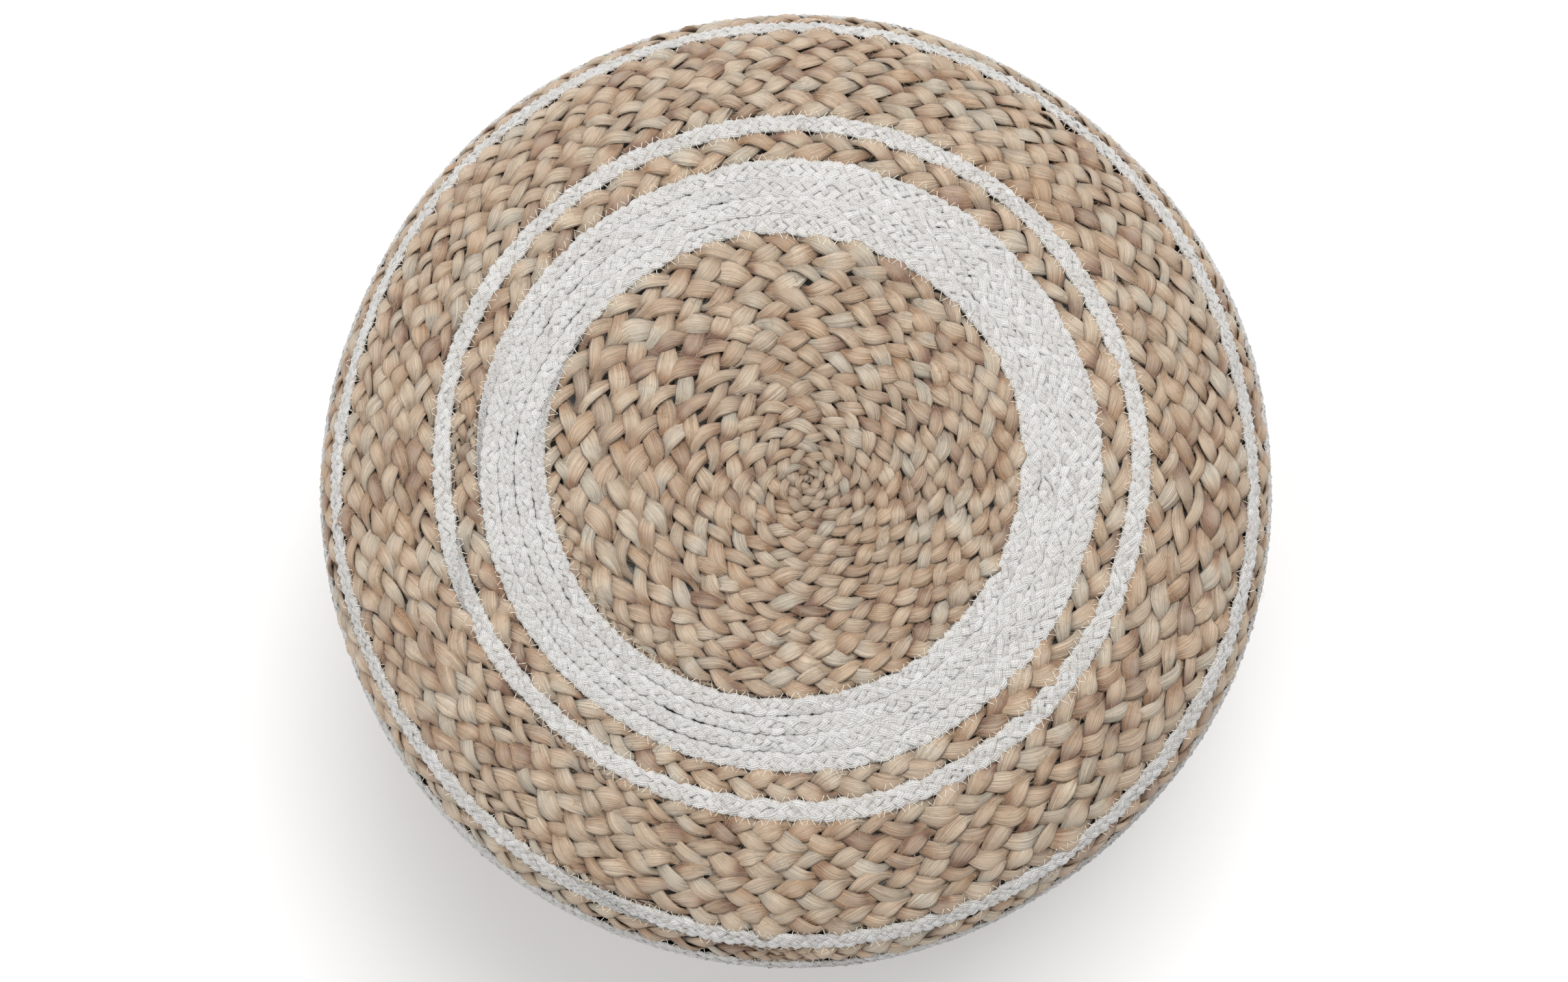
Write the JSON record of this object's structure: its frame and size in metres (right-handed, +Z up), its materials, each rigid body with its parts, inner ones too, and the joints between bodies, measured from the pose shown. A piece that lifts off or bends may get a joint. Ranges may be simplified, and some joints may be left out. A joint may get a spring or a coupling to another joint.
{
  "type": "floor pouf",
  "caption": "Round domed floor pouf with a coiled jute and cotton braid cover, a recessed canvas base with a zip, and a filled liner bag inside.",
  "frame": {"origin": "centre of the foot, on the floor", "axes": "+Z up through the middle of the seat; X runs along the zip in the base, with the closed end at +X"},
  "size_m": [0.5, 0.5, 0.3],
  "materials": {
    "jute_braid": "three-strand flat braid of combed jute, silky along the fibre, with loose hairs",
    "cotton_braid": "flat braid of off-white cotton yarn, matt",
    "canvas": "plain-woven natural cotton canvas, matt",
    "zip_tape": "close herringbone woven tape",
    "zip_nylon": "moulded coil, satin",
    "zip_metal": "plated zinc, satin",
    "liner_cloth": "light calico, matt",
    "filling": "loose polyester fibre, matt"
  },
  "bodies": {
    "pouf": {"jute_centre_coil": "jute_braid", "cotton_seat_band": "cotton_braid", "jute_seat_ring": "jute_braid", "cotton_seat_ring": "cotton_braid", "jute_shoulder_coil": "jute_braid", "cotton_rim_ring": "cotton_braid", "jute_rim_ring": "jute_braid", "cotton_wall_band": "cotton_braid", "jute_wall_ring": "jute_braid", "cotton_wall_ring": "cotton_braid", "jute_wall_coil": "jute_braid", "cotton_foot_ring": "cotton_braid", "jute_foot_coil": "jute_braid", "base_panel_left": "canvas", "base_panel_right": "canvas", "zip_tape_left": "zip_tape", "zip_tape_right": "zip_tape", "zip_coil_left": "zip_nylon", "zip_coil_right": "zip_nylon", "zip_stop_closed_end": "zip_metal", "zip_stop_open_end": "zip_metal", "liner_top_panel": "liner_cloth", "liner_side_band": "liner_cloth", "liner_base_panel": "liner_cloth", "filling": "filling"},
    "slider": {"zip_slider": "zip_metal"},
    "pull": {"zip_pull": "zip_metal"}
  },
  "joints": [
    {"name": "zip_slide", "type": "slide", "parent": "pouf", "child": "slider", "axis": [-1, 0, 0], "range_m": [0, 0.323]},
    {"name": "pull_hinge", "type": "hinge", "parent": "slider", "child": "pull", "pos_m": [0.16152, 0, 0.004], "axis": [0, -1, 0], "range_deg": [0, 180]}
  ]
}
